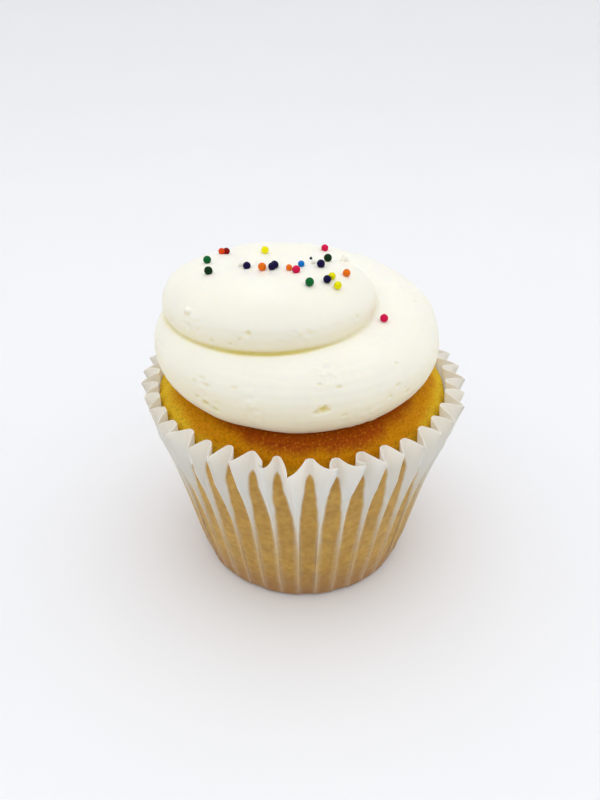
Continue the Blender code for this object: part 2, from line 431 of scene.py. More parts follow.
def melt_together(name, sources):
    bpy.context.view_layer.update()
    graph = bpy.context.evaluated_depsgraph_get()
    joined = bmesh.new()
    for source in sources:
        skin = bpy.data.meshes.new_from_object(source.evaluated_get(graph))
        skin.transform(source.matrix_world)
        joined.from_mesh(skin)
        bpy.data.meshes.remove(skin)
        bpy.data.objects.remove(source)
    bmesh.ops.remove_doubles(joined, verts=joined.verts, dist=0.01 * MM)
    bmesh.ops.recalc_face_normals(joined, faces=joined.faces)
    data = bpy.data.meshes.new(name)
    joined.to_mesh(data)
    joined.free()
    piece = bpy.data.objects.new(name, data)
    bpy.context.scene.collection.objects.link(piece)
    melt = piece.modifiers.new("one body", "REMESH")
    melt.mode = "VOXEL"
    melt.voxel_size = CELL * MM
    melt.use_smooth_shade = True
    soften = piece.modifiers.new("soft piping", "SMOOTH")
    soften.factor = 0.5
    soften.iterations = SOFTEN_TIMES
    return piece


def apply_modifiers(piece):
    """Puts what the modifiers make into the piece's own mesh."""
    bpy.context.view_layer.update()
    graph = bpy.context.evaluated_depsgraph_get()
    made = bpy.data.meshes.new_from_object(piece.evaluated_get(graph))
    piece.modifiers.clear()
    piece.data = made


core = lathe("core", dome_profile(CORE_RADIUS, GRIP_HEIGHT, CORE_TOP, CORE_ROUNDNESS, 24)
             + [(0.0, GRIP_HEIGHT)], 72)
core.location = ((SWIRL_MIDDLE_X + TOP_SHIFT_X) * MM, SWIRL_MIDDLE_Y * MM, 0.0)
swirl = melt_together("buttercream_swirl", (pipe_rope(), core))
apply_modifiers(swirl)
report(swirl)

# %% [markdown]
# ## The sponge
# A vanilla sponge that rose in its case: flat walls where the paper held it, and a dome that came over the
# rim. It has a fine crumb, so the skin is pitted all over at about half a millimetre. A coarse mesh with a
# bump map would do from far away, but the crown shows its crumb at the edge, so the mesh itself is fine
# where it shows and the crumb is in the shape.

# %% Sponge sizes
PAPER_CLEAR = 0.7
SPONGE_RADIUS = 32.6
CROWN_HEIGHT = 51.2
CROWN_ROUNDNESS = 0.55
WALL_FOOT_RADIUS = 24.9
WALL_FOOT_HEIGHT = 1.5
GRIP_RADIUS = 33.0
FOOT_CORNER = 2.6
SPONGE_SIDE = -0.4
AROUND = 760
CROWN_ROWS = 90


def panel_radius(height):
    """Inside radius of the paper's panels, where the sponge holds them."""
    climb = (height - WALL_FOOT_HEIGHT) / (GRIP_HEIGHT - WALL_FOOT_HEIGHT)
    return mix(WALL_FOOT_RADIUS, GRIP_RADIUS, climb)


def sponge_profile(crown_points):
    points = dome_profile(SPONGE_RADIUS, GRIP_HEIGHT, CROWN_HEIGHT, CROWN_ROUNDNESS, crown_points)
    corner_top = PAPER_CLEAR + FOOT_CORNER
    foot = panel_radius(corner_top) - 0.4
    for step in range(5):
        turn = math.radians(90.0 * step / 4)
        points.append((foot - FOOT_CORNER * (1.0 - math.cos(turn)),
                       corner_top - FOOT_CORNER * math.sin(turn)))
    points.append((0.0, PAPER_CLEAR))
    return points


# %% Seat the swirl on the crown
SEAT_CLEAR = 0.1

cutter = lathe("crown_cutter", [
    (radius + (SEAT_CLEAR if radius > 0.0 else 0.0), height + SEAT_CLEAR)
    for radius, height in sponge_profile(24)
], 96)
seat = swirl.modifiers.new("seat", "BOOLEAN")
seat.operation = "DIFFERENCE"
seat.solver = "EXACT"
seat.object = cutter
apply_modifiers(swirl)
bpy.data.objects.remove(cutter)
report(swirl)

# %% [markdown]
# ## What the nozzle leaves on the buttercream
# Where one turn lies on the next, the two skins roll into a tight groove. The rope's formula says where that
# is: at a point that is as near to one turn's skin as to the next one's. The middle of the top is different.
# There the turns ran together, and a long local smoothing closes them. Whipped buttercream also holds air.
# Its pockets tear open at the nozzle's edge, mostly low on each turn, and leave pits from a pinprick to two
# millimetres wide. All of this is moved in the mesh, because it shows at the outline and in the shadows.

# %% Close the turns on top
TOP_FROM = 70.0
TOP_TO = 73.0
CLOSE_TIMES = 300
BACK_DIP = 1.8
BACK_DIP_FROM = -2.0
BACK_DIP_TO = 16.0
DIP_HEIGHT_FROM = 62.0
DIP_HEIGHT_TO = 73.0

points = read_points(swirl)
on_top = smooth_step(TOP_FROM, TOP_TO, points[:, 2])
group = swirl.vertex_groups.new(name="top")
for number in np.flatnonzero(on_top > 0.0):
    group.add([int(number)], float(on_top[number]), "REPLACE")
closing = swirl.modifiers.new("closing", "SMOOTH")
closing.factor = 0.5
closing.iterations = CLOSE_TIMES
closing.vertex_group = group.name
apply_modifiers(swirl)
points = read_points(swirl)
back = smooth_step(BACK_DIP_FROM, BACK_DIP_TO, points[:, 1])
points[:, 2] -= BACK_DIP * back * smooth_step(DIP_HEIGHT_FROM, DIP_HEIGHT_TO, points[:, 2])
write_points(swirl, points)
print("closed the top over", int((on_top > 0.0).sum()), "points")

# %% Find and deepen the groove between turns
LINE_STEP_DEG = 2.0
OTHER_TURN_DEG = 150.0
GROOVE_DEPTH = 0.65
GROOVE_WIDTH = 0.5
GROOVE_PLACES_DEG = (0.0, 60.0, 120.0, 205.0, 240.0, 265.0, 295.0, 325.0, 360.0)
GROOVE_STRENGTHS = (0.1, 0.2, 0.6, 0.5, 1.0, 0.95, 0.35, 0.1, 0.1)
SHARES_AT_ONCE = 4000

turns = np.arange(ROPE_START_DEG, ROPE_END_DEG, LINE_STEP_DEG)
line = [rope_point(turned) for turned in turns]
round_rope = np.array((1.0, 1.0, 1.0 / ROPE_SQUASH))
line_middle = np.array([middle for middle, _ in line]) * round_rope
line_radius = np.array([ROPE_HALF_WIDTH * share for _, share in line])


def gap_between_turns(points):
    """How much nearer each point is to its own turn's skin than to any other turn's."""
    gaps = []
    for start in range(0, len(points), SHARES_AT_ONCE):
        some = points[start:start + SHARES_AT_ONCE] * round_rope
        away = np.linalg.norm(some[:, None, :] - line_middle[None], axis=2) - line_radius
        own = turns[away.argmin(axis=1)]
        other_turn = np.abs(turns[None] - own[:, None]) > OTHER_TURN_DEG
        gaps.append(np.where(other_turn, away, np.inf).min(axis=1) - away.min(axis=1))
    return np.concatenate(gaps)


below_top = 1.0 - smooth_step(TOP_FROM - 2.0, TOP_TO - 2.0, points[:, 2])
degrees_round = np.degrees(np.arctan2(points[:, 1], points[:, 0])) % 360.0
groove = np.exp(-(gap_between_turns(points) / GROOVE_WIDTH) ** 2) * below_top
groove *= np.interp(degrees_round, GROOVE_PLACES_DEG, GROOVE_STRENGTHS)
points -= read_normals(swirl) * (GROOVE_DEPTH * groove)[:, None]
write_points(swirl, points)
print("the groove runs through", int((groove > 0.5).sum()), "points")

# %% Piping is never quite even
SWELL_MM = 11.0
SWELL_DEPTH = 0.30
RIPPLE_MM = 3.0
RIPPLE_DEPTH = 0.05
TORN_MM = 1.1
TORN_DEPTH = 0.22
TORN_PATCH_MM = 9.0
TORN_FROM = 0.12
TORN_FULLY = 0.42
TORN_SHIFT = Vector((0.0, 0.0, 3.0))

uneven = []
for spot in points:
    swell = noise.noise(Vector(spot) / SWELL_MM) * SWELL_DEPTH
    ripple = noise.noise(Vector(spot) / RIPPLE_MM) * RIPPLE_DEPTH
    torn_here = smooth_step(TORN_FROM, TORN_FULLY, noise.noise(Vector(spot) / TORN_PATCH_MM + TORN_SHIFT))
    torn_skin = 0.0
    if torn_here > 0.0 and spot[2] < TOP_FROM:
        torn_skin = torn_here * noise.fractal(Vector(spot) / TORN_MM, 1.0, 2.0, 2) * TORN_DEPTH
    uneven.append(swell + ripple + torn_skin)
points += read_normals(swirl) * np.array(uneven)[:, None]
write_points(swirl, points)
print("unevenness up to %.2f mm" % max(uneven))

# %% Air pockets
POCKET_SEED = 11
SMALL_POCKETS = 70
# Degrees round the swirl, height, half height, half width and depth of the pockets that catch the eye.
LARGE_POCKETS = (
    (276.9, 57.4, 0.95, 1.7, 0.9),
    (274.6, 56.9, 0.6, 0.8, 0.5),
    (276.0, 62.0, 0.4, 0.9, 0.3),
    (283.5, 61.2, 0.4, 0.8, 0.3),
    (244.0, 60.6, 0.4, 1.0, 0.25),
    (286.0, 54.4, 0.4, 0.9, 0.3),
    (244.0, 69.5, 0.6, 0.9, 0.5),
    (240.5, 68.2, 0.4, 0.8, 0.3),
    (227.0, 66.5, 0.4, 0.7, 0.3),
    (232.0, 59.6, 0.35, 1.8, 0.3),
    (229.5, 60.6, 0.35, 1.2, 0.25),
    (232.0, 55.4, 0.9, 1.2, 0.9),
    (236.5, 54.6, 0.7, 1.0, 0.8),
    (228.0, 56.2, 0.6, 0.8, 0.6),
)
BUMP = (211.0, 70.2, 0.9, 1.4, -0.8)

draw = random.Random(POCKET_SEED)
pockets = list(LARGE_POCKETS) + [BUMP]
for _ in range(SMALL_POCKETS):
    low, high = draw.choice(((53.5, 62.5), (53.5, 60.0), (65.0, 69.5)))
    size = draw.uniform(0.3, 0.55)
    pockets.append((
        draw.uniform(0.0, 360.0), draw.uniform(low, high), size, size * draw.uniform(1.0, 2.2),
        draw.uniform(0.1, 0.3),
    ))


def skin_seen_from(piece):
    """The piece's skin as something that a straight line can hit."""
    graph = bpy.context.evaluated_depsgraph_get()
    return bvhtree.BVHTree.FromObject(piece, graph)


OUTSIDE = 60.0
skin = skin_seen_from(swirl)
normals = read_normals(swirl)
pit_shade = np.zeros(len(points))
for degrees, height, half_high, half_wide, depth in pockets:
    start = Vector(ring_point(OUTSIDE, degrees, height)) * MM
    hit, _, _, _ = skin.ray_cast(start, Vector((-start.x, -start.y, 0.0)).normalized())
    if hit is None:
        continue
    sideways = np.array(ring_point(1.0, degrees + 90.0, 0.0))
    from_middle = points - np.array(hit / MM)
    near = np.flatnonzero((from_middle ** 2).sum(axis=1) < (2.0 * half_wide) ** 2)
    for number in near:
        offset = from_middle[number]
        along = offset @ sideways
        across = math.sqrt(max(0.0, offset @ offset - along ** 2))
        ragged = 1.0 + 0.6 * noise.noise(Vector(points[number]) * 1.1)
        reach = math.hypot(along / half_wide, across / half_high) * ragged
        if reach < 1.0:
            bowl = (1.0 - reach ** 2) ** 2
            pit_shade[number] = max(pit_shade[number], bowl * min(1.0, depth))
            points[number] -= normals[number] * bowl * depth
write_points(swirl, points)
# Painted shade: the groove and the pits are written as a share that the finish paints a deeper yellow, standing
# in for the shade inside them.
write_attribute(swirl, "groove_and_pit_shade", np.maximum(groove, np.clip(pit_shade, 0.0, 1.0)))
report(swirl)

# %% [markdown]
# Vanilla buttercream is butter beaten with sugar until it is nearly white. Light goes a millimetre or so into
# it and comes out warmer, which the subsurface setting stands for. The darker butter yellow of its undersides,
# grooves and pits is painted shade in its colour, while its top stays as white as milk. Its skin is smooth and
# fatty, which gives a wide, faint shine.

# %% Whipped vanilla buttercream
cream_finish, tree, cream, place = start_finish("whipped_vanilla_buttercream")
facing = add_node(tree, "TexCoord").outputs["Normal"]
upward = add_node(tree, "SeparateXYZ", links={"Vector": facing}).outputs["Z"]
# Painted shade: faces that turn downwards get a darker, yellower cream, standing in for the shade under each
# turn.
underside_shade_share = add_node(
    tree, "MapRange", {"From Min": 0.55, "From Max": -0.25}, {"Value": upward}, interpolation_type="SMOOTHSTEP",
)
underside_shaded = add_node(
    tree, "MixRGB", {"Color1": hex_colour("F7F4E8"), "Color2": hex_colour("F2E9CF")},
    {"Fac": underside_shade_share.outputs["Result"]},
)
# Painted shade: the groove and pit share mixes in a deep butter yellow where shade falls into them.
groove_and_pit_shade = add_node(tree, "Attribute", attribute_name="groove_and_pit_shade").outputs["Fac"]
groove_shaded = add_node(
    tree, "MixRGB", {"Color2": hex_colour("EADB78")}, {"Fac": groove_and_pit_shade, "Color1": underside_shaded.outputs["Color"]},
)
whipped = add_node(tree, "TexNoise", {"Scale": per_mm(7.0), "Detail": 2.0}, {"Vector": place})
uneven_white = add_node(
    tree, "MapRange", {"From Min": 0.3, "From Max": 0.7, "To Min": 0.975, "To Max": 1.0},
    {"Value": whipped.outputs["Fac"]},
)
cream_colour = add_node(
    tree, "MixRGB", {"Fac": 1.0},
    {"Color1": groove_shaded.outputs["Color"], "Color2": uneven_white.outputs["Result"]}, blend_type="MULTIPLY",
)
tree.links.new(cream_colour.outputs["Color"], cream.inputs["Base Color"])
smears = add_node(tree, "TexNoise", {"Scale": per_mm(3.0), "Detail": 3.0}, {"Vector": place})
shine = add_node(
    tree, "MapRange", {"From Min": 0.3, "From Max": 0.7, "To Min": 0.38, "To Max": 0.55},
    {"Value": smears.outputs["Fac"]},
)
tree.links.new(shine.outputs["Result"], cream.inputs["Roughness"])
tiny_air = add_node(tree, "TexNoise", {"Scale": per_mm(0.5), "Detail": 2.0}, {"Vector": place})
cream_relief = add_node(
    tree, "Bump", {"Strength": 0.5, "Distance": 0.04 * MM}, {"Height": tiny_air.outputs["Fac"]},
)
tree.links.new(cream_relief.outputs["Normal"], cream.inputs["Normal"])
cream.inputs["IOR"].default_value = 1.45
cream.inputs["Subsurface Weight"].default_value = 0.6
cream.inputs["Subsurface Radius"].default_value = (1.0, 0.85, 0.55)
cream.inputs["Subsurface Scale"].default_value = 0.8 * MM
swirl.data.materials.clear()
swirl.data.materials.append(cream_finish)

# %% [markdown]
# The sponge needs two sizes of unevenness. Over some 8 mm the crown swells and sinks by a quarter of a
# millimetre, as batter does while it sets. Over three quarters of a millimetre its torn bubbles make the
# crumb. Both are moves of the mesh along its own outward direction, made only above the paper's grip, where
# air and heat reached it. On the left the crown swelled towards the paper, and in front the paper held it.

# %% Bake the sponge
sponge = lathe("sponge_cake", sponge_profile(CROWN_ROWS), AROUND)
UNEVEN_MM = 8.0
UNEVEN_DEPTH = 0.25
CRUMB_MM = 0.75
CRUMB_DEPTH = 0.12
FREE_FROM = 35.5
HIDDEN_REACH = 18.0
LEFT_SWELL = 0.9
LEFT_SWELL_DEG = 45.0
FRONT_PRESS = 0.7
FRONT_PRESS_DEG = (255.0, 24.0)

for vertex in sponge.data.vertices:
    spot = vertex.co / MM
    reach = math.hypot(spot.x, spot.y)
    if spot.z < FREE_FROM or reach < HIDDEN_REACH:
        continue
    low = noise.noise(spot / UNEVEN_MM) * UNEVEN_DEPTH
    crumb = noise.fractal(spot / CRUMB_MM, 1.0, 2.0, 3) * CRUMB_DEPTH
    outward = Vector((spot.x / reach, spot.y / reach, 1.0)).normalized()
    degrees = math.degrees(math.atan2(spot.y, spot.x)) % 360.0
    swell = LEFT_SWELL * math.exp(-((degrees - 180.0) / LEFT_SWELL_DEG) ** 2)
    middle, half = FRONT_PRESS_DEG
    swell -= FRONT_PRESS * math.exp(-((degrees - middle) / half) ** 2)
    sideways = Vector((spot.x / reach, spot.y / reach, 0.0)) * swell * smooth_step(41.0, 45.0, spot.z)
    vertex.co = (spot + sideways + outward * (low + crumb)) * MM
report(sponge)

# %% [markdown]
# Its colour is partly the oven's work: the dry, high middle of a crown browns first, so the crust is brown at
# the foot of the buttercream and fades to gold lower down, and to yellow at the sides. The deepest, reddest
# brown right under the buttercream is also painted shadow, the shadow that the swirl casts on the crown. That
# makes height the
# natural driver: two soft steps over z mix three colours, and a 5 mm noise makes their edges drift.
# Half-millimetre pores and crumbs are a little coarser than the finest real ones, so that they show. A baked
# crust is dry and open, so it is rough, hardly glossy, and lets a little light in.

# %% Golden vanilla sponge
sponge_finish, tree, crust, place = start_finish("golden_vanilla_sponge")
where = add_node(tree, "SeparateXYZ", links={"Vector": place})
off_centre = add_node(tree, "Math", {1: 1.5 * MM}, {0: where.outputs["X"]}, operation="SUBTRACT")
sideways = add_node(tree, "Math", links={0: off_centre.outputs["Value"]}, operation="ABSOLUTE")
paler_sides = add_node(
    tree, "MapRange", {"From Min": 12.0 * MM, "From Max": 32.0 * MM, "To Min": 0.0, "To Max": -4.5 * MM},
    {"Value": sideways.outputs["Value"]},
)
rise = add_node(
    tree, "Math", links={0: where.outputs["Z"], 1: paler_sides.outputs["Result"]}, operation="ADD",
)
patches = add_node(tree, "TexNoise", {"Scale": per_mm(5.0), "Detail": 2.0}, {"Vector": place})
drift = add_node(
    tree, "MapRange",
    {"From Min": 0.3, "From Max": 0.7, "To Min": -0.5 * MM, "To Max": 0.5 * MM},
    {"Value": patches.outputs["Fac"]},
)
oven_height = add_node(
    tree, "Math", links={0: rise.outputs["Value"], 1: drift.outputs["Result"]}, operation="ADD",
)
golden = add_node(
    tree, "MapRange", {"From Min": 42.2 * MM, "From Max": 45.4 * MM},
    {"Value": oven_height.outputs["Value"]}, interpolation_type="SMOOTHSTEP",
)
# Real browning and painted shadow: the top colour, a deep red-brown just under the buttercream, also stands in
# for the swirl's shadow on the crown.
brown_and_shadow = add_node(
    tree, "MapRange", {"From Min": 46.0 * MM, "From Max": 48.4 * MM},
    {"Value": oven_height.outputs["Value"]}, interpolation_type="SMOOTHSTEP",
)
pale_edge = add_node(
    tree, "MixRGB", {"Color1": hex_colour("E4BC2A"), "Color2": hex_colour("CA8600")},
    {"Fac": golden.outputs["Result"]},
)
crown = add_node(
    tree, "MixRGB", {"Color2": hex_colour("A34A00")},
    {"Fac": brown_and_shadow.outputs["Result"], "Color1": pale_edge.outputs["Color"]},
)
speckle = add_node(tree, "TexNoise", {"Scale": per_mm(0.5), "Detail": 1.0}, {"Vector": place})
pores = add_node(
    tree, "MapRange", {"From Min": 0.3, "From Max": 0.5, "To Min": 0.72, "To Max": 1.0},
    {"Value": speckle.outputs["Fac"]},
)
pitted = add_node(
    tree, "MixRGB", {"Fac": 1.0},
    {"Color1": crown.outputs["Color"], "Color2": pores.outputs["Result"]}, blend_type="MULTIPLY",
)
crumbs = add_node(
    tree, "MapRange", {"From Min": 0.6, "From Max": 0.72, "To Min": 0.0, "To Max": 0.4},
    {"Value": speckle.outputs["Fac"]},
)
speckled = add_node(
    tree, "MixRGB", {"Color2": hex_colour("DE9A28")},
    {"Fac": crumbs.outputs["Result"], "Color1": pitted.outputs["Color"]},
)
tree.links.new(speckled.outputs["Color"], crust.inputs["Base Color"])
dryness = add_node(
    tree, "MapRange", {"From Min": 0.3, "From Max": 0.7, "To Min": 0.82, "To Max": 0.62},
    {"Value": patches.outputs["Fac"]},
)
tree.links.new(dryness.outputs["Result"], crust.inputs["Roughness"])
crumb_relief = add_node(
    tree, "Bump", {"Strength": 0.6, "Distance": 0.08 * MM}, {"Height": speckle.outputs["Fac"]},
)
tree.links.new(crumb_relief.outputs["Normal"], crust.inputs["Normal"])
crust.inputs["Specular IOR Level"].default_value = 0.08
crust.inputs["Subsurface Weight"].default_value = 0.25
crust.inputs["Subsurface Radius"].default_value = (1.0, 0.5, 0.15)
crust.inputs["Subsurface Scale"].default_value = 1.0 * MM
sponge.data.materials.append(sponge_finish)

# %% [markdown]
# ## The paper case
# A baking case starts as a flat disc of greaseproof paper. A press pushes its middle down and gathers the
# rest in 39 pleats. Low on the wall each pleat is a flat panel that sticks to the cake, with a thin double
# fold standing out between it and the next. Higher up, where no cake holds the paper, the folds open into
# wide flanks with a rounded inner fold and a sharp outer one.

# %% Paper sizes
PLEATS = 39
CASE_HEIGHT = 47.2
BASE_FLAT_RADIUS = 22.6
RIM_RADIUS = 33.2
RIM_LEAN_IN = 0.9
PANEL_SHARE_LOW = 0.86
PANEL_SHARE_RIM = 0.30
OPENING_FROM = 20.0
OPENING_TO = 42.3
GOLD_TOP = 43.2
GOLD_ARCH = 2.4
GOLD_DROP = 8.0
GOLD_DROP_DEG = (36.0, 52.0)
FOLD_DEPTH_WALL = 0.42
FOLD_DEPTH_RIM = 3.7
FOLD_DROP_RIM = 0.6
PAPER_THICK = 0.12
PANEL_STEPS = 6
FLANK_STEPS = 7
WALL_ROWS = 56
CORNER_ROWS = 5
CRINKLE = 0.35
CRINKLE_TOP = 9.0

# %% Where the pleats stand
OPEN_FOLD_DEG = 267.4
OPEN_PUSH_DEG = 2.6
OPEN_PUSH_FADE_DEG = 60.0
SQUEEZE_DEG = 0.6
LAST = PLEATS - 1
TIP_LEAN_DEG = {
    0: 4.5, 1: 5.1, 2: 1.4, 3: -0.6, 4: -1.5, LAST: -1.2, LAST - 1: -1.0, LAST - 2: -1.2,
    5: -1.7, 6: -2.1, 7: -1.6, 8: -2.2, 9: -1.9, 10: -2.3, 11: -1.8, 12: -1.0, 13: 0.8,
    24: 1.8, 25: 1.6, 26: 1.9, 27: 2.2, 28: 2.6, 29: 2.3, 30: 2.6, 31: 2.2, 32: 1.6,
}
ROOT_SHIFT_DEG = {LAST - 1: 2.6}
TIP_DEPTH = {
    0: 0.5, 1: 0.52, LAST: 1.15, LAST - 1: 0.42, LAST - 2: 0.75,
    25: 1.2, 26: 1.22, 27: 1.2, 28: 1.1, 29: 1.0, 30: 0.88, 31: 0.85,
}
LEAF_LEAN_IN = {LAST: 1.8, LAST - 1: 1.5, LAST - 2: 1.5, **dict.fromkeys(range(23, 34), 0.1)}


def pleat_angle(index, share):
    """Middle of a pleat's flat panel. Near the rim the opened fold pushes the pleats on its left aside."""
    even = 360.0 / PLEATS * (index + 0.5)
    if even <= 180.0:
        push = -SQUEEZE_DEG * smooth_step(0.0, 30.0, even)
    else:
        push = -OPEN_PUSH_DEG * smooth_step(0.5, 1.0, share) * math.exp((even - 360.0) / OPEN_PUSH_FADE_DEG)
        push -= SQUEEZE_DEG * (1.0 - smooth_step(180.0, 300.0, even))
    stray = 0.3 * wave(index, 0.7) if 2 < index < PLEATS - 3 else 0.0
    return OPEN_FOLD_DEG + even + push + stray


def fold_middle(index, share):
    """Half-way between the panels on both sides of the fold that follows this pleat."""
    after = pleat_angle(index + 1, share) if index < LAST else pleat_angle(0, share) + 360.0
    return (pleat_angle(index, share) + after) / 2.0


def tip_lean(index, share):
    """How far a fold's outer edge leans over: the thin fins a little, the wide folds near the rim more."""
    fin = 0.7 * wave(index, 5.3) * (1.0 - smooth_step(0.35, 0.75, share))
    return fin + TIP_LEAN_DEG.get(index, 1.6 * wave(index, 1.1)) * smooth_step(0.74, 1.0, share)


def panel_share(height):
    """Flat part of a pleat, as a share of its pitch: nearly all of it low down, a third at the rim."""
    rise = min(1.0, max(0.0, (height - OPENING_FROM) / (OPENING_TO - OPENING_FROM)))
    return mix(PANEL_SHARE_LOW, PANEL_SHARE_RIM, rise ** 2)


def gold_top(index, degrees):
    """Where a panel's grease stops. The cake leaned against the front of the case, so it is highest there."""
    from_front = abs((degrees - 270.0 + 180.0) % 360.0 - 180.0)
    return GOLD_TOP + 0.6 * wave(index, 3.1) - GOLD_DROP * smooth_step(*GOLD_DROP_DEG, from_front)


def fold_depth(index, share):
    low = FOLD_DEPTH_WALL * smooth_step(-0.03, 0.12, share)
    rim = FOLD_DEPTH_RIM * TIP_DEPTH.get(index, 1.0 + 0.12 * wave(index, 4.4))
    return mix(low, rim, share ** 4)


def bend_through(start, pull, end, t):
    """A point on a smooth bend from start to end that is pulled towards a third value."""
    return (1.0 - t) ** 2 * start + 2.0 * t * (1.0 - t) * pull + t ** 2 * end


# %% One flank of a fold
CURL_LEAN_DEG = 3.0
CURL_OVER = 3.6
CURL_UNDER = 2.2
STRAIGHT_PULL = 0.55
STRAIGHT_OUT = 0.25
OPEN_FOLD_OUT = 1.1


def fold_flank(index, side, edge, share):
    """Angle and outward distance along a flank, from its panel's edge to the fold's outer edge.

    An upright fold has two nearly straight flanks. One that leans over curls like a wave: the flank on top
    bulges outward, the flank beneath runs back under it.
    """
    middle = fold_middle(index, share) if side > 0 or index < LAST else fold_middle(index, share) - 360.0
    lean = tip_lean(index, share)
    depth = fold_depth(index, share)
    root = middle + ROOT_SHIFT_DEG.get(index, 0.0) * smooth_step(0.74, 1.0, share)
    tip = middle + lean
    curl = min(1.0, abs(tip - root) / CURL_LEAN_DEG)
    on_top = side * (tip - root) > 0.0
    out = STRAIGHT_OUT * depth
    if index == LAST and side < 0:
        out = OPEN_FOLD_OUT * depth
    curled_out = (CURL_OVER if on_top else CURL_UNDER) * smooth_step(0.5, 1.0, share)
    pull_angle = mix(mix(edge, tip, STRAIGHT_PULL), root, curl)
    pull_out = mix(out, max(out, curled_out), curl)
    points = []
    for step in range(1, FLANK_STEPS + 1):
        t = step / FLANK_STEPS
        points.append((bend_through(edge, pull_angle, tip, t), bend_through(0.0, pull_out, depth, t), t))
    return points


# %% One height of the wall


def wall_ring(share):
    """Points round the wall at this share of its height, and how deep each lies inside a greasy panel."""
    points = []
    soaked = []
    for index in range(PLEATS):
        middle = pleat_angle(index, share)
        height = mix(WALL_FOOT_HEIGHT, CASE_HEIGHT + 0.4 * wave(index, 2.0), share)
        free = smooth_step(GRIP_HEIGHT, CASE_HEIGHT, height)
        radius = panel_radius(min(height, GRIP_HEIGHT)) + (RIM_RADIUS - GRIP_RADIUS) * free
        radius -= CRINKLE * abs(wave(index, 0.4 * height)) * (1.0 - smooth_step(2.0, CRINKLE_TOP, height))
        lean_in = LEAF_LEAN_IN.get(index, RIM_LEAN_IN) * free
        half = 0.5 * panel_share(height) * 360.0 / PLEATS
        half_mm = math.radians(half) * radius
        arch_top = gold_top(index, middle)
        above = (height - arch_top + GOLD_ARCH) / GOLD_ARCH
        gold_mm = half_mm if above < 0.0 else half_mm * math.sqrt(max(0.0, 1.0 - above ** 2))
        gold_mm -= max(0.0, height - arch_top)
        flanks = []
        for side, fold in ((-1, index - 1 if index else LAST), (1, index)):
            flank = []
            edge = middle + side * half
            for angle, out, t in fold_flank(fold, side, edge, share):
                lean = lean_in * (1.0 - smooth_step(0.0, 1.0, 0.35 + 0.65 * t))
                away = math.hypot(out, math.radians(angle - edge) * radius)
                flank.append((
                    ring_point(radius + out - lean, angle, height - FOLD_DROP_RIM * share * t),
                    gold_mm - half_mm - away,
                ))
            flanks.append(flank)
        panel = []
        for step in range(PANEL_STEPS + 1):
            across = 2.0 * step / PANEL_STEPS - 1.0
            lean = lean_in * (1.0 - smooth_step(0.0, 1.0, 0.35 * abs(across)))
            panel.append((
                ring_point(radius - lean, middle + across * half, height),
                gold_mm - abs(across) * half_mm,
            ))
        before, after = flanks
        for point, depth_in in before[-2::-1] + panel + after:
            points.append(point)
            soaked.append(depth_in)
    return points, soaked


rings = []
inside = []
for step in range(WALL_ROWS + 1):
    ring, soaked = wall_ring(step / WALL_ROWS)
    rings.append(ring)
    inside.append(soaked)
columns = len(rings[0])
print("the wall has", columns, "columns")

# %% Foot and base
foot_rings = []
foot = rings[0]
for step in range(CORNER_ROWS):
    turn = math.radians(90.0 * step / CORNER_ROWS)
    ring = []
    for x, y, z in foot:
        reach = math.hypot(x, y)
        angle = math.degrees(math.atan2(y, x))
        ring.append(ring_point(mix(BASE_FLAT_RADIUS, reach, math.sin(turn)), angle,
                               PAPER_THICK + (z - PAPER_THICK) * (1.0 - math.cos(turn))))
    foot_rings.append(ring)
all_rings = foot_rings + rings
all_inside = [[1.0] * columns for _ in foot_rings] + inside
case_points = [(0.0, 0.0, PAPER_THICK)]
case_inside = [1.0]
case_faces = []
for row, ring in enumerate(all_rings):
    case_points.extend(ring)
    case_inside.extend(all_inside[row])
    here = 1 + row * columns
    for column in range(columns):
        after = (column + 1) % columns
        if row == 0:
            case_faces.append((0, here + column, here + after)[::-1])
        else:
            below = here - columns
            case_faces.append((below + column, below + after, here + after, here + column))
case = make_piece("pleated_case", case_points, case_faces)
write_attribute(case, "soaked_mm", case_inside)
thickness = case.modifiers.new("paper", "SOLIDIFY")
thickness.thickness = PAPER_THICK * MM
thickness.offset = 1.0
thickness.use_even_offset = False
apply_modifiers(case)
case.data.set_sharp_from_angle(angle=math.radians(50.0))
report(case)

# %% [markdown]
# Greaseproof paper is thin pressed pulp. Where it sticks to the cake, butter soaks in and it turns from
# white to clear gold; the folds that stand free stay white. So the mesh carries a number, `soaked_mm`, which
# says how deep inside a greasy panel each point lies, and the finish turns it into a soft stain. Low on the
# wall the grease has crept into the folds too, and the foot, next to the hot tin, is browner. The grease
# lies unevenly, in patches of 4 mm with a grain of 1.3 mm. Soaked paper is a little smoother than dry paper.
# Light passes into such a thin sheet and spreads, which the subsurface setting stands for.

# %% Greaseproof paper
paper_finish, tree, paper, place = start_finish("pressed_greaseproof_paper")
inside_mm = add_node(tree, "Attribute", attribute_name="soaked_mm").outputs["Fac"]
blotch = add_node(tree, "TexNoise", {"Scale": per_mm(4.0), "Detail": 1.0}, {"Vector": place})
reach = add_node(
    tree, "MapRange", {"From Min": 0.3, "From Max": 0.7, "To Min": -0.15, "To Max": 0.15},
    {"Value": blotch.outputs["Fac"]},
)
edge = add_node(tree, "Math", links={0: inside_mm, 1: reach.outputs["Result"]}, operation="ADD")
height = add_node(tree, "SeparateXYZ", links={"Vector": place}).outputs["Z"]
soft_edge = add_node(
    tree, "MapRange",
    {"From Min": 16.0 * MM, "From Max": 30.0 * MM, "To Min": 1.2, "To Max": 0.4}, {"Value": height},
)
greasy = add_node(
    tree, "MapRange", {"From Min": -0.6},
    {"Value": edge.outputs["Value"], "From Max": soft_edge.outputs["Result"]},
    interpolation_type="SMOOTHSTEP",
)
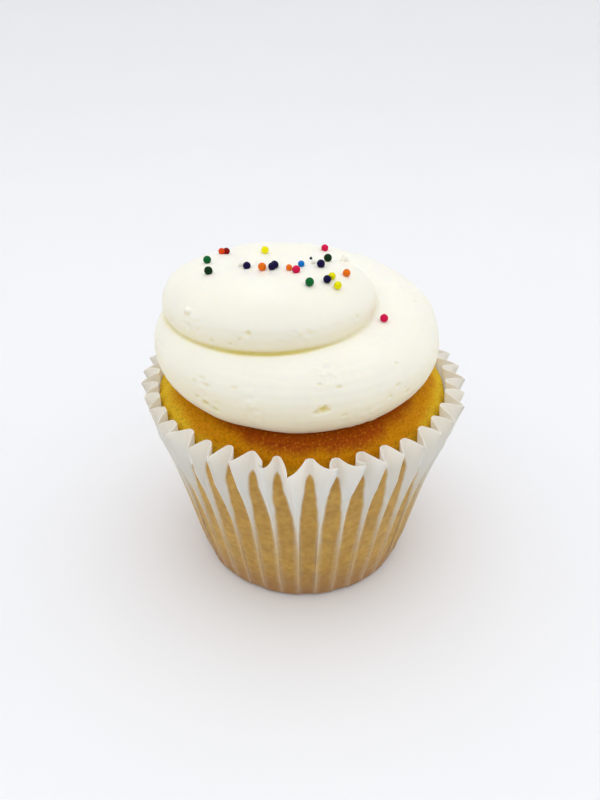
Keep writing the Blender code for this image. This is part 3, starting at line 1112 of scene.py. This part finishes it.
low_fins = add_node(
    tree, "MapRange",
    {"From Min": 13.0 * MM, "From Max": 37.0 * MM, "To Min": 0.8, "To Max": 0.0}, {"Value": height},
    interpolation_type="SMOOTHSTEP",
)
still_dry = add_node(tree, "Math", {0: 1.0}, {1: greasy.outputs["Result"]}, operation="SUBTRACT")
stained = add_node(
    tree, "Math",
    links={0: still_dry.outputs["Value"], 1: low_fins.outputs["Result"], 2: greasy.outputs["Result"]},
    operation="MULTIPLY_ADD",
)
crumb = add_node(tree, "TexNoise", {"Scale": per_mm(1.3), "Detail": 4.0}, {"Vector": place})
mottled = add_node(
    tree, "MapRange", {"From Min": 0.3, "From Max": 0.7}, {"Value": crumb.outputs["Fac"]},
)
golden = add_node(
    tree, "MixRGB", {"Color1": hex_colour("B48634"), "Color2": hex_colour("CAA04C")},
    {"Fac": mottled.outputs["Result"]},
)
seeped = add_node(
    tree, "MapRange", {"From Min": 0.3, "From Max": 0.7, "To Min": 0.88, "To Max": 1.08},
    {"Value": blotch.outputs["Fac"]},
)
patchy = add_node(
    tree, "MixRGB", {"Fac": 1.0},
    {"Color1": golden.outputs["Color"], "Color2": seeped.outputs["Result"]}, blend_type="MULTIPLY",
)
foot = add_node(
    tree, "MapRange", {"From Min": 1.0 * MM, "From Max": 12.0 * MM, "To Min": 0.8, "To Max": 0.0},
    {"Value": height},
)
browner = add_node(
    tree, "MixRGB", {"Color2": hex_colour("9E7048")},
    {"Fac": foot.outputs["Result"], "Color1": patchy.outputs["Color"]},
)
sheet = add_node(
    tree, "MixRGB", {"Color1": hex_colour("FDF6EA")},
    {"Fac": stained.outputs["Value"], "Color2": browner.outputs["Color"]},
)
tree.links.new(sheet.outputs["Color"], paper.inputs["Base Color"])
fibres = add_node(tree, "TexNoise", {"Scale": per_mm(0.6), "Detail": 3.0}, {"Vector": place})
dry_skin = add_node(
    tree, "MapRange", {"From Min": 0.3, "From Max": 0.7, "To Min": 0.58, "To Max": 0.68},
    {"Value": fibres.outputs["Fac"]},
)
greasy_skin = add_node(
    tree, "MixRGB", {"Color2": (0.48, 0.48, 0.48, 1.0)},
    {"Fac": greasy.outputs["Result"], "Color1": dry_skin.outputs["Result"]},
)
tree.links.new(greasy_skin.outputs["Color"], paper.inputs["Roughness"])
paper_relief = add_node(
    tree, "Bump", {"Strength": 0.5, "Distance": 0.05 * MM}, {"Height": crumb.outputs["Fac"]},
)
tree.links.new(paper_relief.outputs["Normal"], paper.inputs["Normal"])
paper.inputs["Specular IOR Level"].default_value = 0.3
paper.inputs["Subsurface Weight"].default_value = 1.0
paper.inputs["Subsurface Radius"].default_value = (1.0, 1.0, 1.0)
paper.inputs["Subsurface Scale"].default_value = 0.4 * MM
case.data.materials.append(paper_finish)

# %% [markdown]
# ## Sugar pearls
# Sprinkles of this kind are sugar grains that were tumbled in coloured syrup until each became a ball of a
# little over a millimetre and a half. No two are quite round or quite the same size. A pinch of them was
# dropped on the middle of the top, so they lie singly, in touching pairs and in one loose bunch, and each
# has sunk a little into the buttercream. A straight line down from above finds the skin under each one. All
# pearls of a colour are joined into one piece.

# %% Where the pearls fell
PEARL_RADIUS = 0.83
PEARL_SUNK = 0.12
PEARL_DENTS = 0.05
PEARL_SEED = 5
PEARLS = {  # for each colour its hex and, for each pearl, x, y and how big it is
    "pink": ("D60F4C", ((-1.5, -7.0, 1.0), (5.0, 21.0, 1.0), (16.5, -10.5, 1.0))),
    "scarlet": ("DC4408", ((-18.5, 12.0, 0.95),)),
    "ruby": ("820206", ((-17.5, 12.5, 0.9),)),
    "orange": ("EC7210", ((-8.5, -3.0, 1.0), (-3.0, -5.0, 0.8), (8.5, -7.0, 0.95))),
    "yellow": ("ECE400", ((-9.0, 16.5, 1.1), (5.5, -9.5, 0.95), (6.5, -12.0, 0.95))),
    "green": ("00642A", ((-20.5, 1.0, 1.0), (1.0, -13.0, 1.05))),
    "pine": ("002E0A", ((-19.5, -5.5, 1.1), (5.0, -1.0, 1.05), (1.5, 0.5, 0.35))),
    "blue": ("0876CC", ((-0.5, -3.5, 0.85),)),
    "navy": (
        "0E003C",
        ((-12.0, 0.0, 1.0), (-6.5, -3.5, 1.0), (-6.0, -3.0, 1.0), (3.5, -4.5, 1.0), (4.5, -11.0, 1.0)),
    ),
    "white": ("F8F5EC", ((2.0, -2.5, 0.6), (9.5, 16.0, 1.0), (-13.5, 2.0, 0.9))),
}

# %% Roll them
ABOVE = 100.0
draw = random.Random(PEARL_SEED)
skin = skin_seen_from(swirl)


def roll_pearls(name, places):
    """One mesh of dented little balls, each resting in the skin below its place."""
    joined = bmesh.new()
    for x, y, size in places:
        hit, normal, _, _ = skin.ray_cast(Vector((x, y, ABOVE)) * MM, Vector((0.0, 0.0, -1.0)))
        radius = PEARL_RADIUS * size * draw.uniform(0.96, 1.04)
        middle = hit / MM + normal * radius * (1.0 - 2.0 * PEARL_SUNK * draw.uniform(0.7, 1.2))
        made = bmesh.ops.create_icosphere(joined, subdivisions=4, radius=radius)
        for vertex in made["verts"]:
            dent = 1.0 + PEARL_DENTS * noise.noise(vertex.co * 1.3 + middle)
            vertex.co = (vertex.co * dent + middle) * MM
    data = bpy.data.meshes.new(name)
    joined.to_mesh(data)
    joined.free()
    data.shade_smooth()
    piece = bpy.data.objects.new(name, data)
    bpy.context.scene.collection.objects.link(piece)
    return piece


pearls = {}
for colour, (_, places) in PEARLS.items():
    pearls[colour] = roll_pearls("sugar_pearls_" + colour, places)
print("rolled", sum(len(places) for _, places in PEARLS.values()), "pearls in", len(pearls), "colours")

# %% [markdown]
# The shell is hard, dense sugar with a thin coat of wax, so each pearl has a small soft highlight. Its colour
# is strong because the dye sits in the outermost syrup, and it is a little patchy.

# %% Hard candy shell


def candy_shell(colour, text):
    shell, tree, candy, place = start_finish("hard_candy_shell_" + colour)
    dye = add_node(tree, "TexNoise", {"Scale": per_mm(0.7), "Detail": 2.0}, {"Vector": place})
    strength = add_node(
        tree, "MapRange", {"From Min": 0.3, "From Max": 0.7, "To Min": 0.85, "To Max": 1.1},
        {"Value": dye.outputs["Fac"]},
    )
    patchy = add_node(
        tree, "MixRGB", {"Fac": 1.0, "Color1": hex_colour(text)}, {"Color2": strength.outputs["Result"]},
        blend_type="MULTIPLY",
    )
    tree.links.new(patchy.outputs["Color"], candy.inputs["Base Color"])
    wax = add_node(
        tree, "MapRange", {"From Min": 0.3, "From Max": 0.7, "To Min": 0.3, "To Max": 0.5},
        {"Value": dye.outputs["Fac"]},
    )
    tree.links.new(wax.outputs["Result"], candy.inputs["Roughness"])
    candy.inputs["IOR"].default_value = 1.5
    candy.inputs["Specular IOR Level"].default_value = 0.12
    grain = add_node(tree, "TexNoise", {"Scale": per_mm(0.25), "Detail": 1.0}, {"Vector": place})
    relief = add_node(
        tree, "Bump", {"Strength": 0.4, "Distance": 0.02 * MM}, {"Height": grain.outputs["Fac"]},
    )
    tree.links.new(relief.outputs["Normal"], candy.inputs["Normal"])
    return shell


for colour, (text, _) in PEARLS.items():
    pearls[colour].data.materials.append(candy_shell(colour, text))

# %% [markdown]
# ## Hand over to the frame
# Every fine piece rides on the one body, and the solid that it stands for is hidden.

# %% Ride on the body and hide the solids
for piece, node, slot in (
    (case, "paper_case", "greaseproof_paper"),
    (sponge, "sponge", "golden_sponge"),
    (swirl, "buttercream", "vanilla_buttercream"),
):
    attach(piece, "root")
    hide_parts(node)
for piece in pearls.values():
    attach(piece, "root")
